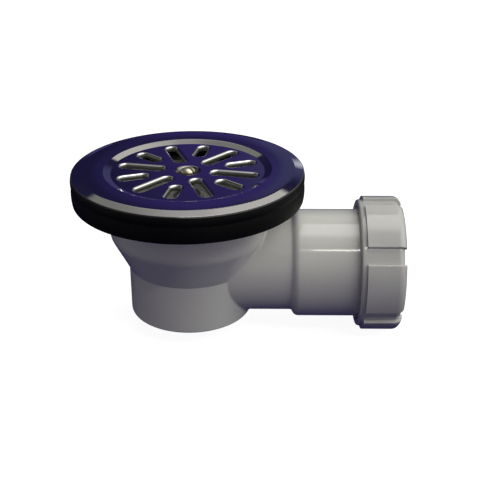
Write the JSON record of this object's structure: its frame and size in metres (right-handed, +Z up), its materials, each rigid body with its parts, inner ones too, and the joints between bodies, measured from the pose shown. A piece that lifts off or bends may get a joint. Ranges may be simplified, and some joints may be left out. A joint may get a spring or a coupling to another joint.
{
  "type": "shower trap",
  "caption": "Shower trap with a pressed slotted grid flange, rubber tray seals, a moulded body with a lift-out dip tube and a compression outlet to one side.",
  "frame": {"origin": "on the trap's axis, in the plane under the grid flange's lip, where the flange meets its seal", "axes": "+Z up out of the drain along the trap's axis, +X along the outlet, away from the trap"},
  "size_m": [0.1492, 0.1046, 0.078],
  "materials": {
    "polished_metal": "polished",
    "screw_metal": "plated",
    "insert_metal": "machined",
    "black_rubber": "moulded",
    "white_plastic": "moulded gloss",
    "ring_plastic": "moulded"
  },
  "bodies": {
    "root": {"grid_flange": "polished_metal", "grid_screw": "screw_metal", "tray_top_seal": "black_rubber", "tray_cup_seal": "black_rubber", "trap_body": "white_plastic", "screw_insert": "insert_metal", "dip_tube": "white_plastic", "dip_tube_o_ring": "black_rubber", "outlet_nut": "white_plastic", "slip_ring": "ring_plastic", "outlet_seal": "black_rubber"}
  },
  "joints": []
}
